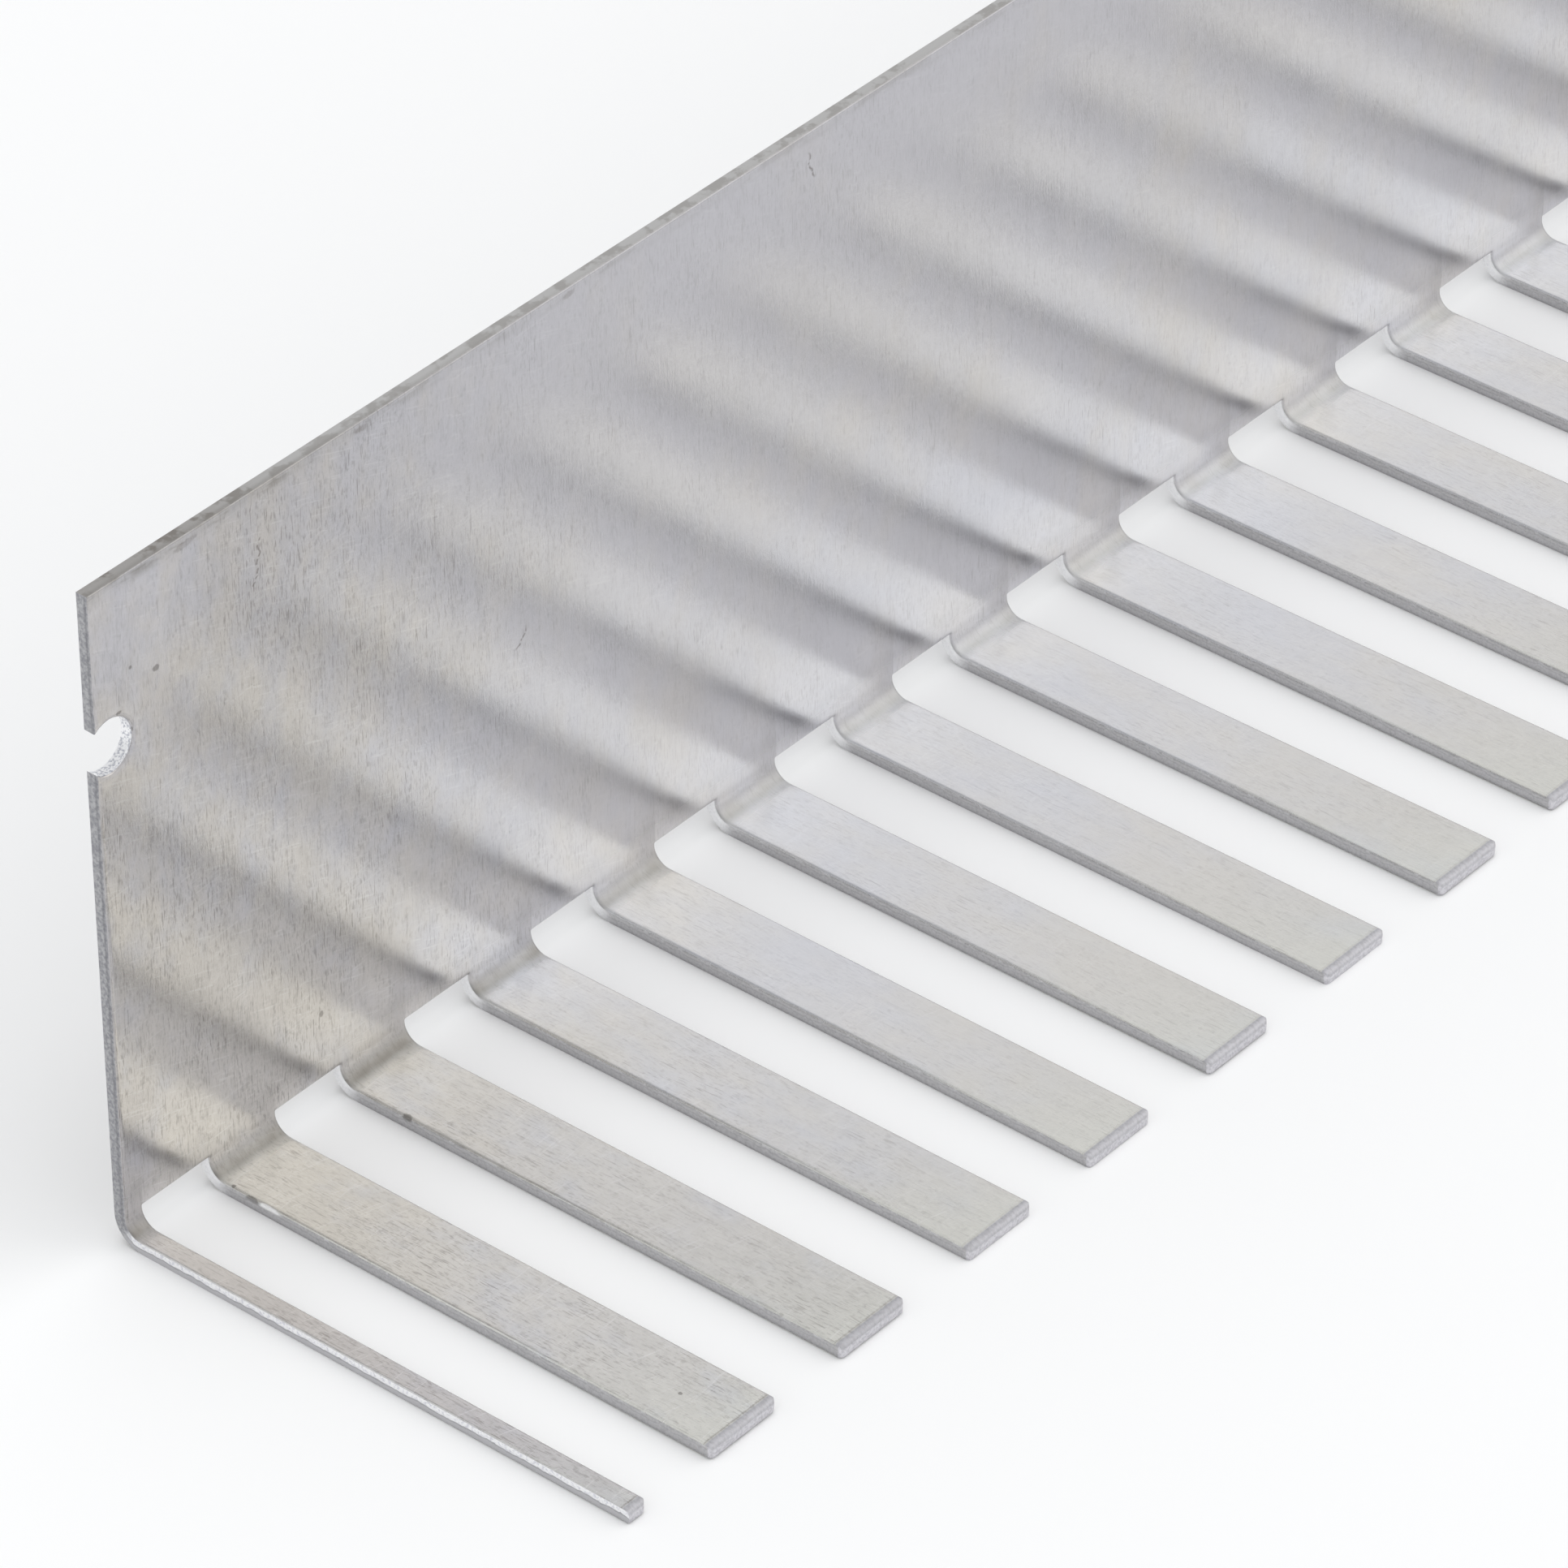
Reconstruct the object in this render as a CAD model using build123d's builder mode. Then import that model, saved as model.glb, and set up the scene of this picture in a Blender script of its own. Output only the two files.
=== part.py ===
"""Eaves mouse guard: a length of aluminium sheet, punched as a comb and bent once to an L.

The upright leg is a plain plate, nailed to the wall or the batten behind the eaves.
The lying leg is a comb: air passes its slots, and a mouse doesn't.
It lies on the flat underside of its fingers, with the plate standing up.

Millimetres. X runs along the stock, Y from the finger tips to the plate's back, Z up.
The origin is the middle of the underside.
"""

import math
import os

from build123d import *

# The strip and its one bend
stock_length = 1000.0
sheet_thickness = 0.8
plate_height = 40.5  # from the underside of the fingers to the plate's top edge
finger_reach = 34.7  # from the plate's back to the finger tips
bend_inner_radius = 1.0

# The comb: slots are punched at one pitch, and the stock is cut to length anywhere in it
slot_pitch = 10.0
slot_width = 5.0
first_finger_width = 1.3  # what the cut leaves of the finger at the near end
slot_run_past_bend = 0.15  # the slots end this far up the flat of the plate

# Nail holes, in one row along the plate, the first of them cut through by the near end
nail_hole_diameter = 3.2
nail_hole_spacing = 250.0
nail_hole_height = 31.0  # above the underside of the fingers
first_nail_hole_from_end = 1.0

# The shear pulls the upper edge of the finger tips down
tip_bevel_length = 0.25
tip_bevel_depth = 0.15

# Derived sizes and places
bend_outer_radius = bend_inner_radius + sheet_thickness
near_end = -stock_length / 2
plate_back = finger_reach / 2
finger_tip = -finger_reach / 2
slot_top = bend_outer_radius + slot_run_past_bend
slot_count = math.ceil((stock_length - first_finger_width) / slot_pitch)
slot_row_middle = near_end + first_finger_width + slot_width / 2 + (slot_count - 1) * slot_pitch / 2
nail_hole_radius = nail_hole_diameter / 2
nail_hole_row = stock_length + nail_hole_radius - first_nail_hole_from_end
nail_hole_count = 1 + math.floor(nail_hole_row / nail_hole_spacing)
nail_hole_row_middle = near_end + first_nail_hole_from_end + (nail_hole_count - 1) * nail_hole_spacing / 2

with BuildPart() as comb_angle:
    # Section of the bent strip: the line of its outer face, thickened inwards by the sheet
    with BuildSketch(Plane.YZ) as section:
        with BuildLine():
            FilletPolyline(
                (finger_tip, 0),
                (plate_back, 0),
                (plate_back, plate_height),
                radius=bend_outer_radius,
            )
            offset(amount=sheet_thickness, side=Side.LEFT)
        make_face()
        tip_end = section.edges().sort_by(Axis.X)[0]
        tip_corner = section.vertices().group_by(Axis.X)[0].sort_by(Axis.Y)[-1]
        chamfer(tip_corner, length=tip_bevel_depth, length2=tip_bevel_length, reference=tip_end)
    extrude(amount=stock_length / 2, both=True)

    # Slots, as seen from the front: each opens the whole leg, the bend and a little of the plate
    with BuildSketch(Plane.XZ):
        with Locations((slot_row_middle, slot_top / 2)):
            with GridLocations(slot_pitch, 0, slot_count, 1):
                Rectangle(slot_width, slot_top)
    extrude(amount=finger_reach, both=True, mode=Mode.SUBTRACT)

    # Nail holes: whole along the plate, with part of one at each cut end
    with BuildSketch(Plane.XZ):
        with Locations((nail_hole_row_middle, nail_hole_height)):
            with GridLocations(nail_hole_spacing, 0, nail_hole_count, 1):
                Circle(nail_hole_radius)
    extrude(amount=finger_reach, both=True, mode=Mode.SUBTRACT)

comb_angle.part.label = "comb_angle"
os.makedirs("parts", exist_ok=True)
export_step(comb_angle.part, "parts/comb_angle.step")
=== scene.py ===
"""Eaves mouse guard on a pale floor: an aluminium comb angle, seen from its near cut end.

Metres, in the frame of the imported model: X along the stock, Y from the finger tips to the
plate's back, Z up.
"""

import math

import bpy
import numpy as np
from mathutils import Matrix, Vector


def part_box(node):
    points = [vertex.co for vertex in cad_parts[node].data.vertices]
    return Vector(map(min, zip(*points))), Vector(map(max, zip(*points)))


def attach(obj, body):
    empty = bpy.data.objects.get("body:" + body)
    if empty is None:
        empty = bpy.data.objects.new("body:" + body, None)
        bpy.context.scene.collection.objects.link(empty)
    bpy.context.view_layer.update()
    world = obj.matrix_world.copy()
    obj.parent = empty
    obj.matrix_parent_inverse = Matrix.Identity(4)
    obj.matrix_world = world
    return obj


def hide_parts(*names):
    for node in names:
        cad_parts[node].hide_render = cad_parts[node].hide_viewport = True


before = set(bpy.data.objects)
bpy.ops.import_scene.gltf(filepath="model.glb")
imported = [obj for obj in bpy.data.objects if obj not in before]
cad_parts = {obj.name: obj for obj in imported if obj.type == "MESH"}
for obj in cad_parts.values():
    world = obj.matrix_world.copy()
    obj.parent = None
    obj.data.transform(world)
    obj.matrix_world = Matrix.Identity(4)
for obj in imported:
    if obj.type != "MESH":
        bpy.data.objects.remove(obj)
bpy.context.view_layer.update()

# The punched strip. The comb angle starts as a strip of 0.8 mm aluminium sheet, slit to width
# and punched while flat with a row of slots for the comb and a row of nail holes. Here x runs
# along the stock from the near end, and s across the strip from the finger tips.
mm = 0.001
corner_low, corner_high = (np.array(corner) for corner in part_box("comb_angle"))
stock_length, finger_reach, plate_height = corner_high - corner_low
sheet_thickness = 0.8 * mm
bend_inner_radius = 1.0 * mm
bend_outer_radius = bend_inner_radius + sheet_thickness
slot_pitch = 10.0 * mm
slot_width = 5.0 * mm
first_finger_width = 1.3 * mm
slot_run_past_bend = 0.15 * mm
nail_hole_radius = 1.6 * mm
nail_hole_spacing = 250.0 * mm
nail_hole_height = 31.0 * mm
first_nail_hole = 1.0 * mm

finger_width = slot_pitch - slot_width
finger_flat = finger_reach - bend_outer_radius
bend_run = (bend_inner_radius + sheet_thickness / 2) * math.pi / 2
bend_end = finger_flat + bend_run
slot_end = bend_end + slot_run_past_bend
strip_width = bend_end + plate_height - bend_outer_radius
nail_hole_row = bend_end + nail_hole_height - bend_outer_radius
nail_holes = np.arange(first_nail_hole, stock_length + nail_hole_radius, nail_hole_spacing)

# The punch draws the sheet down beside every cut: width and depth of that roll, edge by edge
slot_roll = (0.26 * mm, 0.09 * mm)
tip_roll = (0.5 * mm, 0.26 * mm)
long_edge_roll = (0.2 * mm, 0.07 * mm)
end_roll = (0.15 * mm, 0.05 * mm)
tip_corner_radius = 0.28 * mm

# Distances from a sheared edge at which the surface gets a line of points; lines are rounded,
# so that equal ones merge, and the grid leaves a square window for each nail hole
edge_lines = np.array([0.0, 0.05, 0.13, 0.28]) * mm
line_digits = 7
tolerance = 1e-6
window_reach = 2.5 * mm


def rolled_depth(distance, roll):
    """How far the sheet sinks beside a cut: a quarter ellipse, deepest on the edge and then level."""
    width, depth = roll
    nearness = np.clip(1 - distance / width, 0, 1)
    return depth * (1 - np.sqrt(1 - nearness**2))


def stock_lines():
    """The x of every line across the strip: the sides of fingers and slots, and their middles."""
    finger_right = np.arange(first_finger_width, stock_length + finger_width, slot_pitch)
    finger_left = finger_right - finger_width
    corner_step = 0.14 * mm  # just inside the slots, for the roll round their corners
    x = np.concatenate([
        (finger_left[:, None] + edge_lines).ravel(),
        (finger_right[:, None] - edge_lines).ravel(),
        (finger_left + finger_right) / 2,
        finger_right + slot_width / 2,
        finger_left - corner_step,
        finger_right + corner_step,
        edge_lines,
        stock_length - edge_lines,
        (nail_holes[:, None] + window_reach * np.linspace(-1, 1, 5)).ravel(),
    ])
    x = x[(x >= 0) & (x <= stock_length)]
    return np.unique(np.round(x, line_digits))


def strip_lines():
    """The s of every line along the strip: tips, fingers, bend, slot ends, plate and top edge."""
    plate_start, plate_stop = slot_end + 3 * mm, nail_hole_row - window_reach - 4 * mm
    s = np.concatenate([
        np.array([0.0, 0.06, 0.14, 0.28, 0.4, 0.52]) * mm,
        np.linspace(2 * mm, finger_flat, 6),
        np.linspace(finger_flat, bend_end, 9),
        slot_end + edge_lines,
        nail_hole_row + window_reach * np.linspace(-1, 1, 5),
        np.linspace(plate_start, plate_stop, 5),
        strip_width - edge_lines,
        [strip_width - 3.5 * mm],
    ])
    return np.unique(np.round(s, line_digits))


def hole_patch(hole_x, grid_x, grid_s, ids, first_id):
    """Rings of points round a nail hole, joined to the square window that the grid leaves for it.

    Ring j is a circle of radius r + edge_lines[j]; at a cut end it is only the arc inside the strip.
    The last ring and the window are zipped together by angle.
    """
    steps = 48
    radii = nail_hole_radius + edge_lines
    whole = hole_x - window_reach > 0 and hole_x + window_reach < stock_length
    towards = 0.0 if hole_x < stock_length / 2 else math.pi
    overhang = hole_x if towards == 0 else stock_length - hole_x
    cut_angle = math.pi - np.arccos(np.clip(overhang / radii, -1, 1))
    half = np.full(len(radii), math.pi) if whole else cut_angle
    turn = half[:, None] * np.linspace(-1, 1, steps + 1)
    ring_x = hole_x + radii[:, None] * np.cos(towards + turn)
    ring_s = nail_hole_row + radii[:, None] * np.sin(towards + turn)
    columns = steps if whole else steps + 1
    ring_ids = first_id + np.arange(len(radii) * columns).reshape(len(radii), columns)
    around = np.concatenate([ring_ids, ring_ids[:, :1]], axis=1) if whole else ring_ids
    quads = np.stack([around[:-1, :-1], around[1:, :-1], around[1:, 1:], around[:-1, 1:]], -1)

    # The window's border, by angle from the hole's centre
    i = np.flatnonzero(np.abs(grid_x - hole_x) < window_reach + tolerance)
    j = np.flatnonzero(np.abs(grid_s - nail_hole_row) < window_reach + tolerance)
    border = np.zeros((len(i), len(j)), bool)
    border[:, [0, -1]] = True
    if whole or towards == 0:
        border[-1] = True
    if whole or towards > 0:
        border[0] = True
    rim = ids[np.ix_(i, j)][border]
    rim_x = grid_x[i][:, None].repeat(len(j), 1)[border]
    rim_s = grid_s[j][None, :].repeat(len(i), 0)[border]
    angle = np.arctan2(rim_s - nail_hole_row, rim_x - hole_x) - towards
    angle = (angle + math.pi) % (2 * math.pi) - math.pi
    order = np.argsort(angle)
    rim, angle = rim[order], angle[order]
    if whole:
        rim, angle = np.append(rim, rim[0]), np.append(angle, angle[0] + 2 * math.pi)

    # Each step of the last ring takes the nearest border point, and each border step the ring
    # point between
    last = around[-1]
    middle = (turn[-1][1:] + turn[-1][:-1]) / 2
    nearest = np.searchsorted((angle[1:] + angle[:-1]) / 2, middle)
    ring_side = np.stack([last[:-1], rim[nearest], last[1:]], -1)
    switch = np.searchsorted(nearest, np.arange(len(rim) - 1), side="right")
    border_side = np.stack([last[switch], rim[:-1], rim[1:]], -1)
    triangles = np.concatenate([ring_side, border_side])
    ring_x, ring_s = ring_x[:, :columns].ravel(), ring_s[:, :columns].ravel()
    return ring_x, ring_s, np.repeat(edge_lines, columns), quads.reshape(-1, 4), triangles


def punched_strip():
    """The flat strip: its points (x, s), how far each is drawn down, its lip value, and the faces.

    A grid of lines across and along, less the cells inside slots, plus the rings round the nail holes.
    """
    grid_x, grid_s = stock_lines(), strip_lines()
    ids = np.arange(len(grid_x) * len(grid_s)).reshape(len(grid_x), len(grid_s))
    x, s = np.meshgrid(grid_x, grid_s, indexing="ij")
    cell_x, cell_s = (grid_x[1:] + grid_x[:-1]) / 2, (grid_s[1:] + grid_s[:-1]) / 2
    in_slot = ((cell_x - first_finger_width) % slot_pitch < slot_width)[:, None] & (cell_s < slot_end)
    near_hole = (np.abs(cell_x[:, None] - nail_holes) < window_reach).any(1)
    in_window = near_hole[:, None] & (np.abs(cell_s - nail_hole_row) < window_reach)
    i, j = np.nonzero(~(in_slot | in_window))
    quads = [np.stack([ids[i, j], ids[i + 1, j], ids[i + 1, j + 1], ids[i, j + 1]], -1)]

    # Distance from each point to the nearest slot, as a rectangle open at the tips
    slot_middle = first_finger_width + slot_width / 2
    off_middle = np.abs((x - slot_middle + slot_pitch / 2) % slot_pitch - slot_pitch / 2)
    past_slot = np.hypot(np.maximum(off_middle - slot_width / 2, 0), np.maximum(s - slot_end, 0))
    cuts = [
        (past_slot, slot_roll),
        (s, tip_roll),
        (strip_width - s, long_edge_roll),
        (np.minimum(x, stock_length - x), end_roll),
    ]
    drawn = np.maximum.reduce([rolled_depth(distance, roll) for distance, roll in cuts])
    lip = np.maximum.reduce([np.clip(1 - distance / roll[0], 0, 1) for distance, roll in cuts])

    # A tip's corners are rounded: the square at each is drawn in to a quarter of a disc
    beside = np.clip(1 - np.maximum(off_middle - slot_width / 2, 0) / tip_corner_radius, 0, 1)
    before = np.clip(1 - s / tip_corner_radius, 0, 1)
    away = np.sign((x - slot_middle + slot_pitch / 2) % slot_pitch - slot_pitch / 2)
    x = x + away * tip_corner_radius * beside * (1 - np.sqrt(1 - before**2 / 2))
    s = s + tip_corner_radius * before * (1 - np.sqrt(1 - beside**2 / 2))
    all_x, all_s, all_drawn, all_lip = [x.ravel()], [s.ravel()], [drawn.ravel()], [lip.ravel()]
    triangles = []
    count = ids.size
    for hole_x in nail_holes:
        patch = hole_patch(hole_x, grid_x, grid_s, ids, count)
        ring_x, ring_s, beside, ring_quads, zip_triangles = patch
        all_x.append(ring_x)
        all_s.append(ring_s)
        all_drawn.append(rolled_depth(beside, slot_roll))
        all_lip.append(np.clip(1 - beside / slot_roll[0], 0, 1))
        quads.append(ring_quads)
        triangles.append(zip_triangles)
        count += len(ring_x)
    quads, triangles = np.concatenate(quads), np.concatenate(triangles)
    used = np.unique(np.concatenate([quads.ravel(), triangles.ravel()]))
    renumber = np.zeros(count, int)
    renumber[used] = np.arange(len(used))
    points = [np.concatenate(parts)[used] for parts in (all_x, all_s, all_drawn, all_lip)]
    return *points, renumber[quads], renumber[triangles]


# The comb angle. The punched strip is folded once to a right angle of 1 mm inside radius, so
# that the fingers lie flat under the eaves and the plate stands up to be nailed. The ends are
# cut through the comb and the nail-hole row wherever the length falls.
finger_count = 101
chance = np.random.default_rng(7)
finger_lift = chance.uniform(0.0, 0.004, finger_count)  # slopes: upwards and sideways over reach
finger_sway = chance.normal(0.0, 0.002, finger_count)
finger_sway[0] = abs(finger_sway[0])  # the cut finger stays inside the stock's length
end_out_of_square = 0.12 * mm
fracture_taper = 0.03 * mm

# Where a wall's three bands meet: share of the sheet's thickness, and share of the taper
wall_bands = ((0.45, 0.0), (0.8, 0.4))


def folded(x, s, depth):
    """The strip folded up: flat to the bend, an arc of a quarter turn, then straight up.

    depth is measured from the inner face, and each finger leaves the bend at its own small angle.
    """
    turn = np.clip((s - finger_flat) / bend_run, 0, 1) * math.pi / 2
    radius = bend_inner_radius + depth
    before = np.maximum(finger_flat - s, 0)
    after = np.maximum(s - bend_end, 0)
    finger = np.round((x - first_finger_width + finger_width / 2) / slot_pitch)
    finger = np.clip(finger, 0, finger_count - 1).astype(int)
    lean = end_out_of_square * after / plate_height * np.clip(1 - x / (5 * mm), 0, 1)
    return np.stack([
        corner_low[0] + x + lean + before * finger_sway[finger],
        corner_high[1] - bend_outer_radius + radius * np.sin(turn) - before,
        corner_low[2] + bend_outer_radius - radius * np.cos(turn) + after + before * finger_lift[finger],
    ], -1)


def comb_angle_mesh():
    """The strip's inner face, its outer face a sheet thickness away, and walls round every cut edge.

    A wall has three bands: burnished near the drawn-down side, torn in the middle, and broken out
    at a small taper on the other side. Also returned for every point: (x, s), the lip (1 on a cut,
    0 away from it), and the depth of shear (0 inner face, 1 outer face).
    """
    x, s, drawn, lip, quads, triangles = punched_strip()
    count = len(x)
    four = [quads[:, [k, (k + 1) % 4]] for k in range(4)]
    three = [triangles[:, [k, (k + 1) % 3]] for k in range(3)]
    edges = np.concatenate(four + three)
    key = edges.min(1) * count + edges.max(1)
    _, where, times = np.unique(key, return_index=True, return_counts=True)
    rim = edges[where[times == 1]]

    # Outward direction at each rim point
    run = np.stack([x[rim[:, 1]] - x[rim[:, 0]], s[rim[:, 1]] - s[rim[:, 0]]], -1)
    out = np.stack([run[:, 1], -run[:, 0]], -1) / np.linalg.norm(run, axis=1)[:, None]
    push = np.zeros((count, 2))
    np.add.at(push, rim[:, 0], out)
    np.add.at(push, rim[:, 1], out)
    length = np.linalg.norm(push, axis=1)
    push[length > 0] *= fracture_taper / length[length > 0][:, None]

    rim_points = np.unique(rim)
    points = [folded(x, s, drawn), folded(x - push[:, 0], s - push[:, 1], sheet_thickness)]
    shear = [np.zeros(count), np.ones(count)]
    levels = [np.arange(count)]
    for level, inset in wall_bands:
        ids = np.zeros(count, int)
        ids[rim_points] = 2 * count + (len(levels) - 1) * len(rim_points) + np.arange(len(rim_points))
        depth = drawn[rim_points] + (sheet_thickness - drawn[rim_points]) * level
        back = push[rim_points] * inset
        points.append(folded(x[rim_points] - back[:, 0], s[rim_points] - back[:, 1], depth))
        shear.append(np.full(len(rim_points), level))
        levels.append(ids)
    levels.append(np.arange(count) + count)
    walls = [
        np.stack([upper[rim[:, 0]], lower[rim[:, 0]], lower[rim[:, 1]], upper[rim[:, 1]]], -1)
        for upper, lower in zip(levels[:-1], levels[1:])
    ]
    faces4 = np.concatenate([quads, quads[:, ::-1] + count] + walls)
    faces3 = np.concatenate([triangles, triangles[:, ::-1] + count])
    at = np.concatenate([np.arange(count), np.arange(count), rim_points, rim_points])
    strip_uv = np.stack([x, s], -1)[at]
    middle_x = x[rim].mean(1)
    on_end = (middle_x < tolerance) | (middle_x > stock_length - tolerance)
    wall_finish = np.where(np.tile(on_end, 3), 2, 1)
    return np.concatenate(points), faces4, faces3, strip_uv, lip[at], np.concatenate(shear), wall_finish


points, faces4, faces3, strip_uv, lip, shear, wall_finish = comb_angle_mesh()
mesh = bpy.data.meshes.new("comb_angle_sheet")
mesh.vertices.add(len(points))
mesh.vertices.foreach_set("co", points.astype(np.float32).ravel())
corners = np.concatenate([faces4.ravel(), faces3.ravel()])
sizes = np.concatenate([np.full(len(faces4), 4), np.full(len(faces3), 3)])
starts = np.concatenate([[0], np.cumsum(sizes)[:-1]])
mesh.loops.add(len(corners))
mesh.loops.foreach_set("vertex_index", corners.astype(np.int32))
mesh.polygons.add(len(sizes))
mesh.polygons.foreach_set("loop_start", starts.astype(np.int32))
finish = np.zeros(len(sizes), np.int32)
finish[len(faces4) - len(wall_finish):len(faces4)] = wall_finish
mesh.polygons.foreach_set("material_index", finish)
mesh.update(calc_edges=True)
layer = mesh.uv_layers.new(name="strip")
layer.data.foreach_set("uv", strip_uv[corners].astype(np.float32).ravel())
for name, values in (("lip", lip), ("shear_depth", shear)):
    attribute = mesh.attributes.new(name, "FLOAT", "POINT")
    attribute.data.foreach_set("value", values.astype(np.float32))
mesh.shade_smooth()
mesh.set_sharp_from_angle(angle=math.radians(50))
comb = bpy.data.objects.new("comb_angle_sheet", mesh)
bpy.context.scene.collection.objects.link(comb)
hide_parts("comb_angle")
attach(comb, "root")


# Mill finish: the skin the rolls leave on the sheet, a light grey with fine grain across the
# strip, short dark pick-up marks, cross scratches from handling, and a duller fold, partly painted
# shade.
def add_node(tree, kind, settings=None, **inputs):
    """One node with its settings, and its inputs as values or links; i0, i1 name them by number."""
    made = tree.nodes.new(kind)
    for name, value in (settings or {}).items():
        setattr(made, name, value)
    for name, value in inputs.items():
        numbered = name[0] == "i" and name[1:].isdigit()
        socket = made.inputs[int(name[1:])] if numbered else made.inputs[name.replace("_", " ")]
        if isinstance(value, bpy.types.NodeSocket):
            tree.links.new(value, socket)
        else:
            socket.default_value = value
    return made


def calculated(tree, operation, *values):
    """The result of a Math node on values or links."""
    inputs = {"i%d" % k: value for k, value in enumerate(values)}
    return add_node(tree, "ShaderNodeMath", {"operation": operation}, **inputs).outputs[0]


def ramped(tree, value, low, high, low_result=0.0, high_result=1.0):
    """value taken smoothly from low..high to low_result..high_result, and held beyond."""
    settings = {"interpolation_type": "SMOOTHSTEP"}
    return add_node(tree, "ShaderNodeMapRange", settings, Value=value, From_Min=low, From_Max=high,
                    To_Min=low_result, To_Max=high_result).outputs[0]


def multiplied(tree, *values):
    """The product of all the values."""
    product = values[0]
    for value in values[1:]:
        product = calculated(tree, "MULTIPLY", product, value)
    return product


def blended(tree, factor, first, second):
    """Two colours mixed by a factor."""
    settings = {"data_type": "RGBA"}
    return add_node(tree, "ShaderNodeMix", settings, i0=factor, i6=first, i7=second).outputs[2]


def dimmed(tree, colour, level):
    """A colour multiplied by a level."""
    settings = {"data_type": "RGBA", "blend_type": "MULTIPLY"}
    return add_node(tree, "ShaderNodeMix", settings, i0=1.0, i6=colour, i7=level).outputs[2]


def strip_place(tree):
    """The strip's own x and s at the shaded point, as one vector."""
    return add_node(tree, "ShaderNodeUVMap", {"uv_map": "strip"}).outputs[0]


def strip_noise(tree, per_metre, detail=2.0, roughness=0.5, shift=0.0, turn=0.0):
    """Noise on the strip, with so many features per metre along and across; turn is in degrees."""
    turned = add_node(tree, "ShaderNodeMapping", Vector=strip_place(tree),
                      Rotation=(0, 0, math.radians(turn)))
    placed = add_node(tree, "ShaderNodeMapping", Vector=turned.outputs[0], Scale=(*per_metre, 1.0),
                      Location=(shift, shift, 0))
    return add_node(tree, "ShaderNodeTexNoise", {"noise_dimensions": "2D"}, Vector=placed.outputs[0],
                    Scale=1.0, Detail=detail, Roughness=roughness).outputs[0]


def sheared_noise(tree, per_metre, detail=3.0, roughness=0.6):
    """Noise through the metal, with so many features per metre, for the sheared walls."""
    place = add_node(tree, "ShaderNodeTexCoord").outputs["Object"]
    return add_node(tree, "ShaderNodeTexNoise", Vector=place, Scale=per_metre, Detail=detail,
                    Roughness=roughness).outputs[0]


def new_material(name):
    """An empty node material."""
    material = bpy.data.materials.new(name)
    material.use_nodes = True
    material.node_tree.nodes.clear()
    return material, material.node_tree


mill_finish, tree = new_material("mill_finish")
strip_x, strip_s, _ = add_node(tree, "ShaderNodeSeparateXYZ", Vector=strip_place(tree)).outputs
lip_value = add_node(tree, "ShaderNodeAttribute", {"attribute_name": "lip"}).outputs["Fac"]
outer_side = add_node(tree, "ShaderNodeAttribute", {"attribute_name": "shear_depth"}).outputs["Fac"]
inner_side = calculated(tree, "SUBTRACT", 1.0, outer_side)
fine_grain = strip_noise(tree, (8000, 900), 3.0, 0.6)
broad_grain = strip_noise(tree, (1700, 110), 3.0, 0.6, 3.1)
speckle = strip_noise(tree, (5000, 3800), 3.0, 0.65, 1.7)
blotches = strip_noise(tree, (90, 70), 3.0, 0.55, 7.7)
patches = strip_noise(tree, (420, 260), 3.0, 0.6, 4.4)

# Level: painted light makes the fingers' upward faces lightest and painted shade makes the plate darker
# away from the bend; all of it is darker near the cut end, except for a smoother corner above the nail
# hole
finger_painted_light_level = multiplied(tree, ramped(tree, strip_x, 8 * mm, 18 * mm, 1.51, 1.4),
                          ramped(tree, strip_s, 4 * mm, finger_flat - 6 * mm, 0.99, 1.05))
finger_painted_light = ramped(tree, strip_s, finger_flat, bend_end, finger_painted_light_level, 1.0)
plate_painted_shade = ramped(tree, strip_s, bend_end + 10 * mm, bend_end + 36 * mm, 0.925, 0.89)
near_end_darkening = ramped(tree, strip_x, 8 * mm, 38 * mm, 0.9, 0.993)
smooth_corner = multiplied(tree, ramped(tree, strip_x, 4 * mm, 10 * mm, 1.0, 0.0),
                           ramped(tree, strip_s, nail_hole_row - 4 * mm, nail_hole_row + 2 * mm))
corner_skin = calculated(tree, "MULTIPLY_ADD", smooth_corner, 0.1, 1.0)
mottle = ramped(tree, strip_noise(tree, (1300, 700), 3.0, 0.6, 5.9), 0.3, 0.7, -1.0, 1.0)
mottle_depth = ramped(tree, strip_x, 6 * mm, 42 * mm, 0.03, 0.014)
unevenness = calculated(tree, "MULTIPLY_ADD", mottle, mottle_depth, 1.0)
level = multiplied(tree, finger_painted_light, plate_painted_shade, near_end_darkening, corner_skin, unevenness)

# Colour: cool and warm patches, warmest low down and near the end
patch_tint = multiplied(tree, calculated(tree, "SUBTRACT", patches, 0.5),
                        ramped(tree, strip_x, 6 * mm, 42 * mm, 1.0, 0.35))
warmth = calculated(tree, "MULTIPLY_ADD", blotches, 0.75, calculated(tree, "ADD", patch_tint, 0.375))
near_warmth = ramped(tree, strip_x, 5 * mm, 36 * mm, 0.13, -0.23)
warmth = calculated(tree, "ADD", warmth, near_warmth)
low_warmth = ramped(tree, strip_s, finger_flat, bend_end + 34 * mm, 0.09, -0.1)
warmth = calculated(tree, "ADD", warmth, low_warmth)
warmth = calculated(tree, "MULTIPLY_ADD", smooth_corner, -0.25, warmth)
far_tips = multiplied(tree, ramped(tree, strip_s, 3 * mm, 24 * mm, 0.28, 0.0),
                      ramped(tree, strip_x, 10 * mm, 30 * mm))
warmth = calculated(tree, "ADD", warmth, far_tips)
skin = blended(tree, ramped(tree, warmth, 0.4, 1.0), (0.587, 0.58, 0.612, 1), (0.622, 0.594, 0.575, 1))
on_finger = ramped(tree, strip_s, finger_flat, bend_end, 1.0, 0.0)
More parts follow.
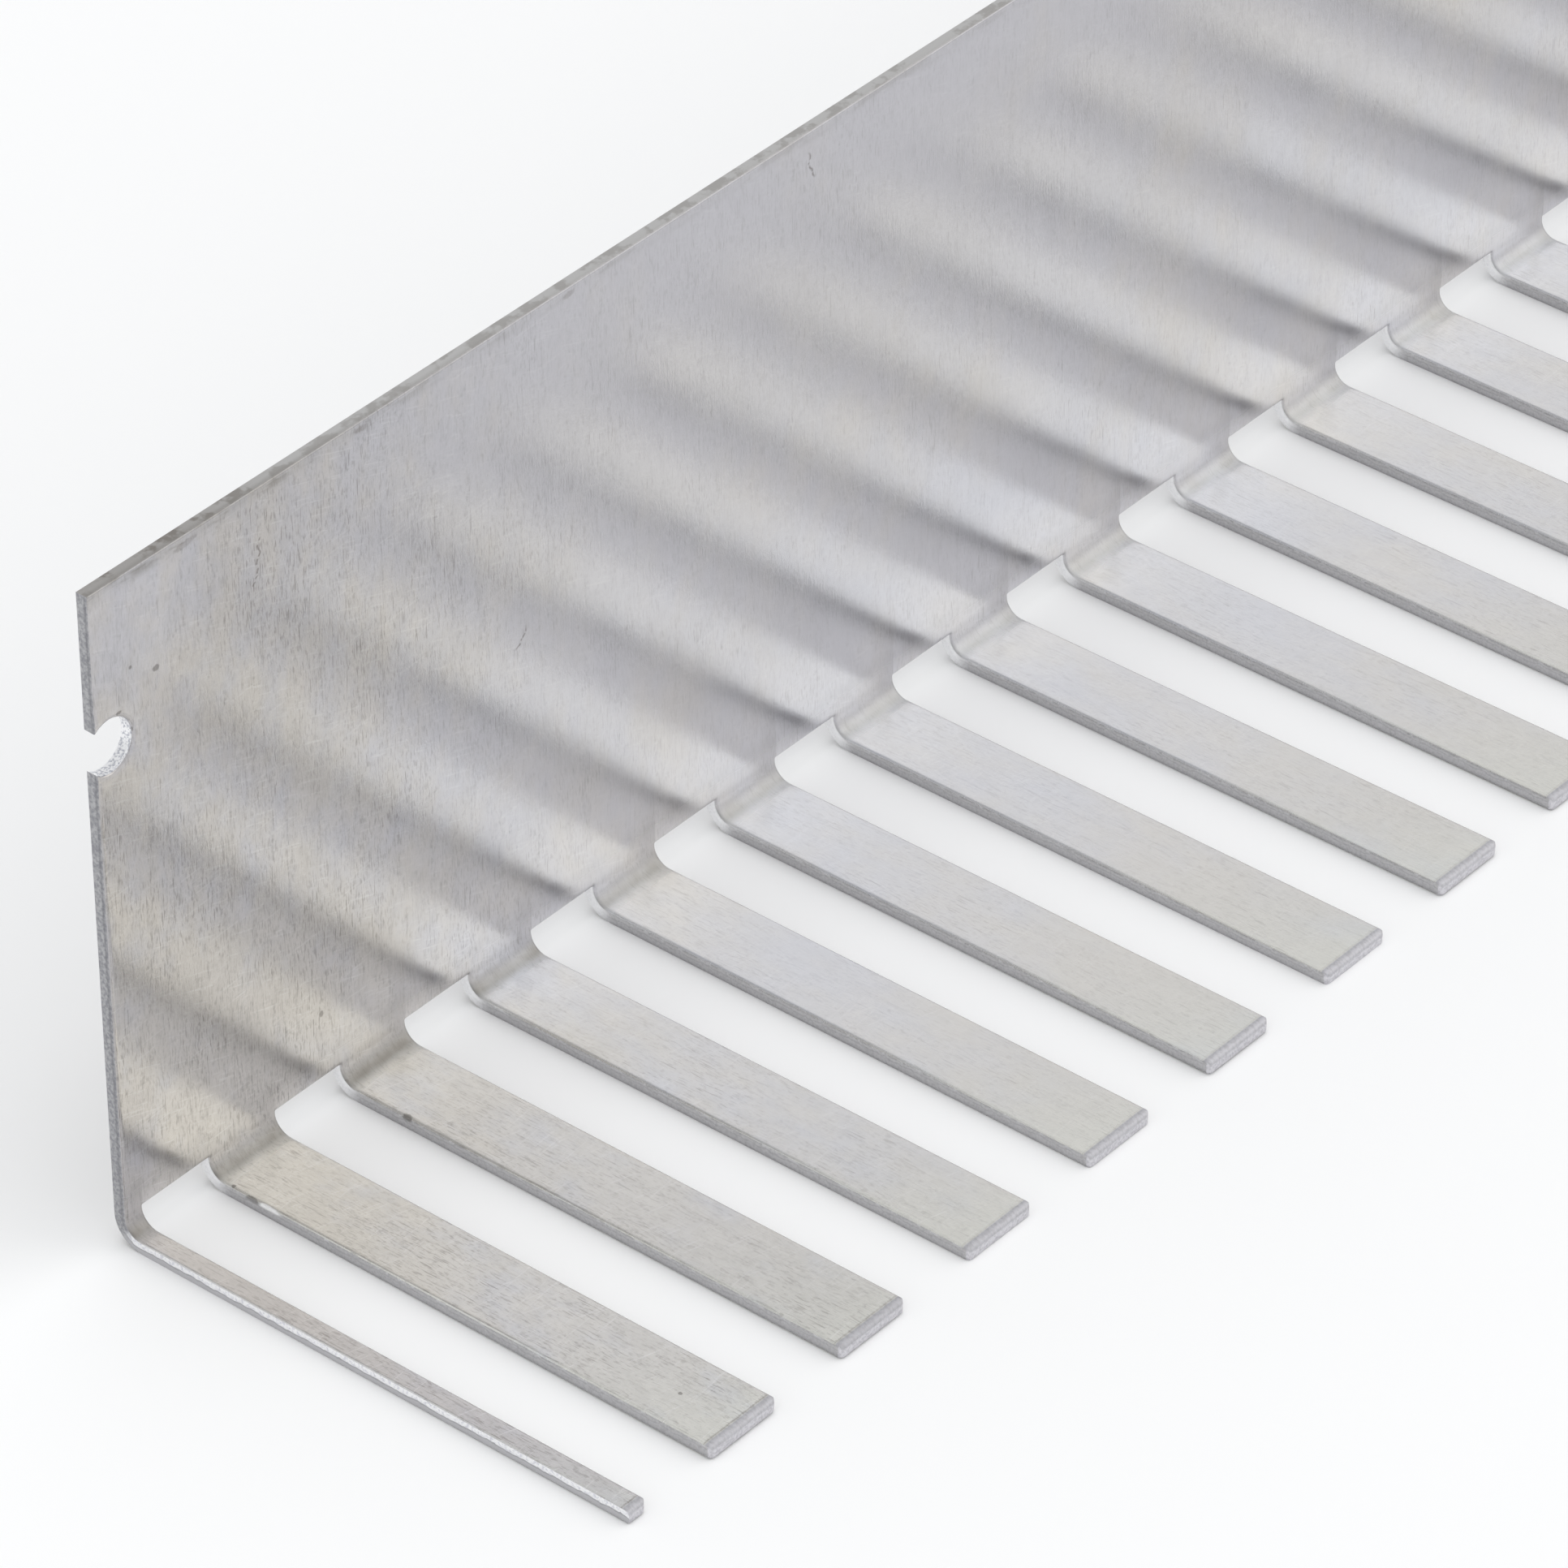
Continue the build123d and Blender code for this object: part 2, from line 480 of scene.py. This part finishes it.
skin = blended(tree, on_finger, skin, dimmed(tree, skin, (0.993, 1.029, 0.995, 1)))
# Darker and bluer along the near edge of the lower plate
near_edge_darkening = multiplied(tree, ramped(tree, strip_x, 0.6 * mm, 3.6 * mm, 0.3, 0.0),
                      ramped(tree, strip_s, bend_end + 4 * mm, bend_end + 8 * mm, 1.0, 0.0))
skin = blended(tree, near_edge_darkening, skin, (0.42, 0.41, 0.46, 1))

# Grain and pick-up: fine streaks, and short dark dashes that thin out away from the end
grain = calculated(tree, "MULTIPLY", fine_grain, 0.6)
grain = calculated(tree, "MULTIPLY_ADD", broad_grain, 0.4, grain)
grain = calculated(tree, "MULTIPLY_ADD", speckle, 0.5, grain)
streak_wear = multiplied(tree, ramped(tree, strip_x, 6 * mm, 44 * mm, 0.87, 0.33),
                         calculated(tree, "MULTIPLY_ADD", smooth_corner, -0.5, 1.0),
                         calculated(tree, "MULTIPLY_ADD", on_finger, -0.16, 1.0))
grooves = multiplied(tree, ramped(tree, grain, 0.46, 0.76, 0.5, 0.0), streak_wear)
skin = blended(tree, grooves, skin, (0.2, 0.19, 0.18, 1))
dash_fields = ramped(tree, strip_noise(tree, (160, 120), 2.0, 0.5, 2.2), 0.35, 0.65, 0.35, 1.0)
short_dashes = ramped(tree, strip_noise(tree, (9500, 1600), 1.0, 0.5, 9.9), 0.6, 0.68, 0.0, 0.6)
long_dashes = ramped(tree, strip_noise(tree, (7500, 600), 1.0, 0.5, 12.3), 0.7, 0.75)
dashes = calculated(tree, "MAXIMUM", short_dashes, long_dashes)
dashes = multiplied(tree, dashes, dash_fields, streak_wear)
skin = blended(tree, multiplied(tree, dashes, 0.6), skin, (0.15, 0.135, 0.12, 1))
cross_scratches = ramped(tree, strip_noise(tree, (330, 7500), 2.0, 0.5, 5.3, 18.0), 0.66, 0.71)
long_scratches = ramped(tree, strip_noise(tree, (180, 8000), 2.0, 0.5, 6.6, -4.0), 0.68, 0.73)
scratches = calculated(tree, "MAXIMUM", cross_scratches, long_scratches)
skin = blended(tree, multiplied(tree, scratches, streak_wear, 0.27), skin, (0.85, 0.85, 0.85, 1))

# The fold squeezed the inner skin into a soft brownish line just above the finger, deepened by a painted
# reflection of the dark slots, strongest near the end; painted shade darkens it towards each finger's
# far side
along_fold = calculated(tree, "DIVIDE", calculated(tree, "SUBTRACT", strip_s, finger_flat), bend_run)
fold_line = multiplied(tree, ramped(tree, along_fold, -0.06, 0.36),
                       ramped(tree, along_fold, 0.38, 0.95, 1.0, 0.0),
                       ramped(tree, strip_x, 15 * mm, 65 * mm, 0.76, 0.32),
                       ramped(tree, patches, 0.3, 0.7, 0.85, 1.15))
# The fold's brown, for its crease line and for its painted shade
fold_brown_and_shade = (0.2, 0.185, 0.165, 1)
skin = blended(tree, fold_line, skin, fold_brown_and_shade)
# Painted light: the top of the fold and the plate's foot are lightened against the fold line's dark
# reflection in them
fold_top = multiplied(tree, ramped(tree, along_fold, 0.6, 0.95),
                      ramped(tree, along_fold, 1.1, 1.8, 1.0, 0.0))
plate_foot = multiplied(tree, ramped(tree, along_fold, 1.4, 2.1),
                        ramped(tree, along_fold, 2.4, 4.8, 0.08, 0.0))
painted_foot_light = calculated(tree, "MULTIPLY_ADD", fold_top, 0.26, plate_foot)
skin = dimmed(tree, skin, calculated(tree, "ADD", painted_foot_light, 1.0))
past_first = calculated(tree, "SUBTRACT", strip_x, first_finger_width)
across_finger = calculated(tree, "FLOORED_MODULO", past_first, slot_pitch)
far_side = ramped(tree, across_finger, slot_pitch - 1.9 * mm, slot_pitch - 0.3 * mm)
# Painted shade: the fold is darkened towards each finger's far side
fold_painted_shade = multiplied(tree, far_side, ramped(tree, along_fold, -0.5, 0.1),
                        ramped(tree, along_fold, 1.2, 3.0, 0.16, 0.0))
skin = blended(tree, fold_painted_shade, skin, fold_brown_and_shade)
fold_scuff = multiplied(tree, ramped(tree, along_fold, -0.3, 0.3),
                        ramped(tree, along_fold, 0.8, 1.9, 1.0, 0.0))

# Beside the cuts: a duller lip, and the tips rubbed satin by the punch behind a thin dark line
lip_dull = multiplied(tree, ramped(tree, lip_value, 0.2, 1.0),
                      ramped(tree, speckle, 0.3, 0.7, 0.02, 0.2))
skin = blended(tree, lip_dull, skin, (0.33, 0.33, 0.35, 1))
tip_line = calculated(tree, "ABSOLUTE", calculated(tree, "SUBTRACT", strip_s, tip_roll[0]))
tip_line = calculated(tree, "MULTIPLY_ADD", speckle, 0.16 * mm, tip_line)
tip_line = ramped(tree, tip_line, 0.06 * mm, 0.19 * mm, 0.5, 0.0)
tip_line = multiplied(tree, tip_line, ramped(tree, strip_x, 10 * mm, 32 * mm, 1.0, 0.25))
skin = blended(tree, tip_line, skin, (0.17, 0.155, 0.14, 1))
tip_land = ramped(tree, strip_s, tip_roll[0] - 0.14 * mm, tip_roll[0] - 0.02 * mm, 1.0, 0.0)
land_colour = blended(tree, ramped(tree, speckle, 0.35, 0.6), (0.38, 0.375, 0.39, 1),
                      (0.45, 0.445, 0.465, 1))
skin = blended(tree, tip_land, skin, land_colour)

# The slit long edge is rubbed dark, most near the end, with smears of burr below it, and its roll
# carries painted shade
below_top = calculated(tree, "SUBTRACT", strip_width, strip_s)
top_smears = ramped(tree, strip_noise(tree, (300, 1400), 3.0, 0.6, 8.3), 0.45, 0.65, 0.2, 0.75)
top_wear = ramped(tree, strip_x, 8 * mm, 28 * mm, 1.0, 0.35)
top_rub = multiplied(tree, ramped(tree, below_top, 0.1 * mm, 0.9 * mm, 1.0, 0.0), top_smears, top_wear)
skin = blended(tree, top_rub, skin, (0.25, 0.235, 0.21, 1))
# Painted shade: the long edge's roll is darkened so that it catches no highlight
top_lip_painted_shade = multiplied(tree, ramped(tree, below_top, 0.02 * mm, 0.14 * mm, 1.0, 0.0),
                     ramped(tree, strip_x, 10 * mm, 55 * mm, 0.42, 0.24))
skin = blended(tree, top_lip_painted_shade, skin, (0.25, 0.24, 0.225, 1))
skin = dimmed(tree, skin, level)


def ragged_spot(tree, border, place, half_size, turn=0.0):
    """1 inside an ellipse on the strip, 0 outside it, its border moved by a noise; mm and degrees."""
    inside = add_node(tree, "ShaderNodeMapping", {"vector_type": "TEXTURE"}, Vector=strip_place(tree),
                      Location=(place[0] * mm, place[1] * mm, 0), Rotation=(0, 0, math.radians(turn)),
                      Scale=(half_size[0] * mm, half_size[1] * mm, 1)).outputs[0]
    length = {"operation": "LENGTH"}
    radius = add_node(tree, "ShaderNodeVectorMath", length, Vector=inside).outputs["Value"]
    return ramped(tree, calculated(tree, "MULTIPLY_ADD", border, 0.8, radius), 1.05, 1.5, 1.0, 0.0)


def hair_scratch(tree, place, half_length, turn, wander):
    """1 on a hair-thin broken line that noise takes off its axis; sizes in mm, turn in degrees."""
    inside = add_node(tree, "ShaderNodeMapping", {"vector_type": "TEXTURE"}, Vector=strip_place(tree),
                      Location=(place[0] * mm, place[1] * mm, 0), Rotation=(0, 0, math.radians(turn)),
                      Scale=(mm, mm, 1)).outputs[0]
    along, across, _ = add_node(tree, "ShaderNodeSeparateXYZ", Vector=inside).outputs
    shifted = calculated(tree, "ADD", along, place[0])
    on_line = {"noise_dimensions": "1D"}
    course = add_node(tree, "ShaderNodeTexNoise", on_line, W=shifted, Scale=0.9, Detail=2.0).outputs[0]
    breaks = add_node(tree, "ShaderNodeTexNoise", on_line, W=shifted, Scale=3.7, Detail=1.0).outputs[0]
    off = calculated(tree, "MULTIPLY_ADD", calculated(tree, "SUBTRACT", course, 0.5), -wander, across)
    line = ramped(tree, calculated(tree, "ABSOLUTE", off), 0.03, 0.1, 1.0, 0.0)
    ends = ramped(tree, calculated(tree, "ABSOLUTE", along), half_length - 0.5, half_length, 1.0, 0.0)
    return multiplied(tree, line, ends, ramped(tree, breaks, 0.36, 0.5))


def joined(tree, *marks):
    """The strongest of the marks at each point."""
    strongest = marks[0]
    for mark in marks[1:]:
        strongest = calculated(tree, "MAXIMUM", strongest, mark)
    return strongest


def edge_stains(tree, border):
    """Dark stains on the near edges of the first two fingers, over the rim of the wall."""
    return joined(
        tree,
        ragged_spot(tree, border, (16.32, 29.35), (0.24, 0.34)),
        ragged_spot(tree, border, (6.42, 32.4), (0.12, 0.15)),
        ragged_spot(tree, border, (6.27, 31.0), (0.15, 0.5)),
    )


def edge_nick(tree, border):
    """A bright nick in the near edge of the first whole finger."""
    return ragged_spot(tree, border, (6.24, 29.8), (0.17, 0.85))


# Marks on the inner side, by x and s: stains above the cut nail hole and burrs on its rim, one
# stain low on the plate, one on a finger tip and those on the edges, smears of burr along the
# long edge, and three faint hair scratches
s_of_z0 = (bend_end - bend_outer_radius) / mm
stained = joined(
    tree,
    ragged_spot(tree, speckle, (2.7, s_of_z0 + 34.9), (0.12, 0.12)),
    ragged_spot(tree, speckle, (4.5, s_of_z0 + 33.9), (0.28, 0.2)),
    ragged_spot(tree, speckle, (1.7, s_of_z0 + 32.7), (0.2, 0.12)),
    ragged_spot(tree, speckle, (2.6, s_of_z0 + 31.2), (0.08, 0.16)),
    ragged_spot(tree, speckle, (15.0, s_of_z0 + 6.1), (0.16, 0.22)),
    ragged_spot(tree, speckle, (8.5, 3.9), (0.12, 0.14)),
    edge_stains(tree, speckle),
)
stain_black = (0.11, 0.1, 0.09, 1)
skin = blended(tree, multiplied(tree, stained, inner_side, 0.55), skin, stain_black)
smeared = joined(
    tree,
    ragged_spot(tree, speckle, (7.0, s_of_z0 + 40.0), (0.9, 0.22), 6.0),
    ragged_spot(tree, speckle, (19.8, s_of_z0 + 40.1), (0.6, 0.2), -5.0),
    ragged_spot(tree, speckle, (35.5, s_of_z0 + 40.1), (0.5, 0.2), 4.0),
)
scratched = joined(
    tree,
    hair_scratch(tree, (12.0, s_of_z0 + 36.2), 1.7, 80.0, 1.2),
    hair_scratch(tree, (31.2, s_of_z0 + 21.0), 0.9, 60.0, 0.8),
    hair_scratch(tree, (54.6, s_of_z0 + 38.4), 1.1, 100.0, 0.7),
)
skin = blended(tree, multiplied(tree, smeared, inner_side, 0.28), skin, (0.16, 0.14, 0.12, 1))
skin = blended(tree, multiplied(tree, scratched, inner_side, 0.6), skin, (0.16, 0.14, 0.13, 1))
nick = multiplied(tree, edge_nick(tree, speckle), inner_side)
nick_bright = (0.97, 0.97, 0.97, 1)
skin = blended(tree, nick, skin, nick_bright)

# Gloss: the plate is smoother higher up, and the fold and the cuts' lips are scuffed
roughness = ramped(tree, blotches, 0.3, 0.7, 0.185, 0.23)
upper_plate = ramped(tree, strip_s, bend_end + 2 * mm, bend_end + 22 * mm)
roughness = calculated(tree, "MULTIPLY_ADD", upper_plate, -0.045, roughness)
roughness = calculated(tree, "MULTIPLY_ADD", fold_scuff, 0.3, roughness)
roughness = calculated(tree, "MULTIPLY_ADD", lip_dull, 0.5, roughness)
roughness = calculated(tree, "MULTIPLY_ADD", tip_land, 0.3, roughness)
roughness = calculated(tree, "MULTIPLY_ADD", nick, 0.5, roughness)
bump = add_node(tree, "ShaderNodeBump", Strength=0.2, Distance=0.00002, Height=grain).outputs[0]
shader = add_node(tree, "ShaderNodeBsdfPrincipled", Metallic=1.0, Base_Color=skin, Roughness=roughness,
                  Normal=bump)
add_node(tree, "ShaderNodeOutputMaterial", Surface=shader.outputs[0])
mesh.materials.append(mill_finish)


# Punched edge: the walls of slots, tips, holes and the slit long edge. The punch burnishes the
# first part of the thickness bright, and the rest tears away grey and pitted.
punched_edge, tree = new_material("punched_edge")
depth = add_node(tree, "ShaderNodeAttribute", {"attribute_name": "shear_depth"}).outputs["Fac"]
strip_x, strip_s, _ = add_node(tree, "ShaderNodeSeparateXYZ", Vector=strip_place(tree)).outputs
tearing = sheared_noise(tree, 1500)
grit = sheared_noise(tree, 6500)
ragged = calculated(tree, "MULTIPLY_ADD", tearing, 0.7, depth)
torn = ramped(tree, ragged, 0.62, 0.8)
wall = blended(tree, torn, (0.53, 0.525, 0.53, 1), (0.57, 0.565, 0.575, 1))
# Darker towards the bottom: the burr, and painted shade where the wall meets the floor
wall = blended(tree, ramped(tree, depth, 0.65, 1.0, 0.0, 0.28), wall, (0.25, 0.25, 0.26, 1))
torn_dark = (0.22, 0.215, 0.23, 1)
wall = blended(tree, ramped(tree, grit, 0.3, 0.6, 0.3, 0.0), wall, torn_dark)
off_tear = calculated(tree, "ABSOLUTE", calculated(tree, "SUBTRACT", ragged, 0.7))
wall = blended(tree, ramped(tree, off_tear, 0.0, 0.1, 0.3, 0.0), wall, torn_dark)
streaks = multiplied(tree, ramped(tree, depth, 0.0, 0.25, 1.0, 0.0), ramped(tree, tearing, 0.5, 0.62))
wall = blended(tree, multiplied(tree, streaks, 0.5), wall, (0.85, 0.85, 0.87, 1))

# Beside the fold the wall is painted near-white, a painted reflection of the pale floor behind the plate
fold_wall_painted_reflection = multiplied(tree, ramped(tree, strip_s, finger_flat - 0.4 * mm, finger_flat + 0.9 * mm),
                     ramped(tree, grit, 0.2, 0.6, 0.75, 0.95),
                     ramped(tree, strip_s, slot_end - 0.05 * mm, slot_end - 0.02 * mm, 1.0, 0.0),
                     ramped(tree, depth, 0.02, 0.1, 0.5, 1.0))
# Near-white, for the painted reflection beside the fold and the burnished nail holes
burnish_and_reflection_white = (0.93, 0.93, 0.94, 1)
wall = blended(tree, fold_wall_painted_reflection, wall, burnish_and_reflection_white)

# The stains and the nick in the first fingers' edges run over the rim
below_rim = ramped(tree, depth, 0.1, 0.4, 1.0, 0.0)
wall = blended(tree, multiplied(tree, edge_stains(tree, grit), below_rim, 0.6), wall, stain_black)
wall = blended(tree, multiplied(tree, edge_nick(tree, grit), below_rim), wall, nick_bright)

# The tips are cut cleaner than the sides, one light face from top to bottom
tip_wall = blended(tree, ramped(tree, grit, 0.35, 0.6), (0.54, 0.53, 0.56, 1), (0.69, 0.68, 0.71, 1))
tip_wall = blended(tree, ramped(tree, depth, 0.0, 0.3, 0.3, 0.0), tip_wall, (0.4, 0.4, 0.42, 1))
on_tip = calculated(tree, "LESS_THAN", strip_s, tip_roll[0] / 2)
wall = blended(tree, on_tip, wall, tip_wall)

# Nail holes are burnished brightest, and the slit long edge is rubbed brown, most near the end, with
# painted shade along its front
from_row = calculated(tree, "ABSOLUTE", calculated(tree, "SUBTRACT", strip_s, nail_hole_row))
in_hole = calculated(tree, "LESS_THAN", from_row, nail_hole_radius + 0.3 * mm)
hole_wall = blended(tree, ramped(tree, grit, 0.38, 0.55), (0.5, 0.51, 0.56, 1), burnish_and_reflection_white)
wall = blended(tree, in_hole, wall, hole_wall)
near_end = ramped(tree, strip_x, 6 * mm, 18 * mm, 1.0, 0.0)
top_wall = blended(tree, near_end, (0.575, 0.567, 0.56, 1), (0.44, 0.424, 0.41, 1))
rubbed = multiplied(tree, ramped(tree, sheared_noise(tree, 800), 0.48, 0.6),
                    ramped(tree, near_end, 0.0, 1.0, 0.35, 0.75))
top_wall = blended(tree, rubbed, top_wall, (0.235, 0.212, 0.19, 1))
# Painted shade: the front of the top wall, where the roll meets it, is darkened so that it catches no
# highlight
front_painted_shade = multiplied(tree, ramped(tree, depth, 0.0, 0.55, 0.6, 0.0),
                       ramped(tree, strip_x, 10 * mm, 45 * mm, 1.0, 0.4))
top_wall = blended(tree, front_painted_shade, top_wall, (0.26, 0.25, 0.235, 1))
on_top = calculated(tree, "GREATER_THAN", strip_s, strip_width - 0.3 * mm)
wall = blended(tree, on_top, wall, top_wall)
roughness = calculated(tree, "MULTIPLY_ADD", in_hole, -0.15, ramped(tree, torn, 0.0, 1.0, 0.36, 0.48))
bump = add_node(tree, "ShaderNodeBump", Strength=0.5, Distance=0.00003, Height=grit).outputs[0]
shader = add_node(tree, "ShaderNodeBsdfPrincipled", Metallic=1.0, Base_Color=wall, Roughness=roughness,
                  Normal=bump)
add_node(tree, "ShaderNodeOutputMaterial", Surface=shader.outputs[0])
mesh.materials.append(punched_edge)


# Cropped end: the stock cut to length. Across the plate it is a dull mottled grey with a dark
# line near the front; along the cut finger the blade left a bright band over a ragged tear.
cropped_end, tree = new_material("cropped_end")
depth = add_node(tree, "ShaderNodeAttribute", {"attribute_name": "shear_depth"}).outputs["Fac"]
_, strip_s, _ = add_node(tree, "ShaderNodeSeparateXYZ", Vector=strip_place(tree)).outputs
pitting = sheared_noise(tree, 5000)
tearing = sheared_noise(tree, 1300)
face = blended(tree, ramped(tree, pitting, 0.35, 0.65), (0.29, 0.29, 0.31, 1), (0.47, 0.47, 0.48, 1))
front_line = calculated(tree, "ABSOLUTE", calculated(tree, "SUBTRACT", depth, 0.22))
face = blended(tree, ramped(tree, front_line, 0.0, 0.2, 0.5, 0.0), face, (0.17, 0.17, 0.185, 1))
band_depth = calculated(tree, "MULTIPLY_ADD", tearing, 0.45, depth)
band_depth = calculated(tree, "MULTIPLY_ADD", pitting, 0.15, band_depth)
burnished = ramped(tree, band_depth, 0.72, 0.8, 1.0, 0.0)
off_tear = calculated(tree, "ABSOLUTE", calculated(tree, "SUBTRACT", band_depth, 0.82))
bright_band = blended(tree, ramped(tree, pitting, 0.35, 0.55), (0.72, 0.72, 0.77, 1),
                      (0.96, 0.96, 0.97, 1))
side = blended(tree, burnished, (0.58, 0.575, 0.59, 1), bright_band)
side = blended(tree, ramped(tree, off_tear, 0.0, 0.1, 0.45, 0.0), side, (0.2, 0.2, 0.21, 1))
on_finger = ramped(tree, strip_s, finger_flat + 0.5 * mm, finger_flat + 1.6 * mm, 1.0, 0.0)
face = blended(tree, on_finger, face, side)
roughness = ramped(tree, multiplied(tree, on_finger, burnished), 0.0, 1.0, 0.45, 0.3)
bump = add_node(tree, "ShaderNodeBump", Strength=0.6, Distance=0.00004, Height=pitting).outputs[0]
shader = add_node(tree, "ShaderNodeBsdfPrincipled", Metallic=1.0, Base_Color=face, Roughness=roughness,
                  Normal=bump)
add_node(tree, "ShaderNodeOutputMaterial", Surface=shader.outputs[0])
mesh.materials.append(cropped_end)


# The floor and the studio light: a matt white table in an even white room, with a large soft
# lamp towards the far end, low enough for the fingers to shade the gaps beside them, and a
# weaker one overhead.
floor_reach = 6.0
floor_corners = [(-floor_reach, -floor_reach, 0), (floor_reach, -floor_reach, 0),
                 (floor_reach, floor_reach, 0), (-floor_reach, floor_reach, 0)]
floor_mesh = bpy.data.meshes.new("floor")
floor_mesh.from_pydata(floor_corners, [], [(0, 1, 2, 3)])
floor = bpy.data.objects.new("floor", floor_mesh)
bpy.context.scene.collection.objects.link(floor)
floor_material, tree = new_material("pale_floor")
shader = add_node(tree, "ShaderNodeBsdfDiffuse", Color=(0.96, 0.96, 0.96, 1))
add_node(tree, "ShaderNodeOutputMaterial", Surface=shader.outputs[0])
floor_mesh.materials.append(floor_material)

world = bpy.data.worlds.new("studio")
world.use_nodes = True
tree = world.node_tree
direction = add_node(tree, "ShaderNodeTexCoord").outputs["Generated"]
_, towards_back, _ = add_node(tree, "ShaderNodeSeparateXYZ", Vector=direction).outputs
background = tree.nodes["Background"]
background.inputs["Color"].default_value = (0.98, 0.99, 1.0, 1)
tree.links.new(ramped(tree, towards_back, -0.4, 0.5, 0.91, 0.81), background.inputs["Strength"])
bpy.context.scene.world = world


def softbox(name, place, aim, size, power, colour):
    """A square soft lamp at place, facing aim."""
    light = bpy.data.lights.new(name, "AREA")
    light.shape = "SQUARE"
    light.size = size
    light.energy = power
    light.color = colour
    box = bpy.data.objects.new(name, light)
    towards = Vector(aim) - Vector(place)
    box.rotation_euler = towards.to_track_quat("-Z", "Y").to_euler()
    box.location = place
    bpy.context.scene.collection.objects.link(box)
    return box


near_corner = np.array([-0.45, 0.0, 0.0])
lamp_distance = 1.5
key_place = near_corner + lamp_distance * np.array([0.7, -0.5, 0.55])
softbox("key", key_place, near_corner, size=1.4, power=3.7, colour=(1.0, 0.98, 0.95))
top_place = near_corner + lamp_distance * np.array([0.1, 0.0, 1.0])
top = softbox("top", top_place, near_corner, size=1.0, power=3.4, colour=(1.0, 1.0, 1.0))
top.visible_glossy = False  # seen from above, its mirror image would turn the fingers white
bpy.context.scene.view_settings.view_transform = "Standard"

# The camera looks along the comb from above its near end, with a long lens; its place, angles
# and focal length were fitted to the outlines in the photograph
camera_data = bpy.data.cameras.new("camera")
camera_data.sensor_width = 36.0
camera_data.lens = 213.53
camera_data.clip_start = 0.01
camera = bpy.data.objects.new("camera", camera_data)
eye = np.array([-758.151, -248.439, 300.36]) * mm
azimuth, elevation, roll = (math.radians(angle) for angle in (49.4869, 36.3805, -0.5731))
ahead = np.array([
    math.cos(elevation) * math.sin(azimuth),
    math.cos(elevation) * math.cos(azimuth),
    -math.sin(elevation),
])
level = np.cross(ahead, (0, 0, 1))
level /= np.linalg.norm(level)
right = math.cos(roll) * level + math.sin(roll) * np.cross(level, ahead)
up = np.cross(right, ahead)
camera.matrix_world = Matrix([
    [right[0], up[0], -ahead[0], eye[0]],
    [right[1], up[1], -ahead[1], eye[1]],
    [right[2], up[2], -ahead[2], eye[2]],
    [0, 0, 0, 1],
])
bpy.context.scene.collection.objects.link(camera)
bpy.context.scene.camera = camera
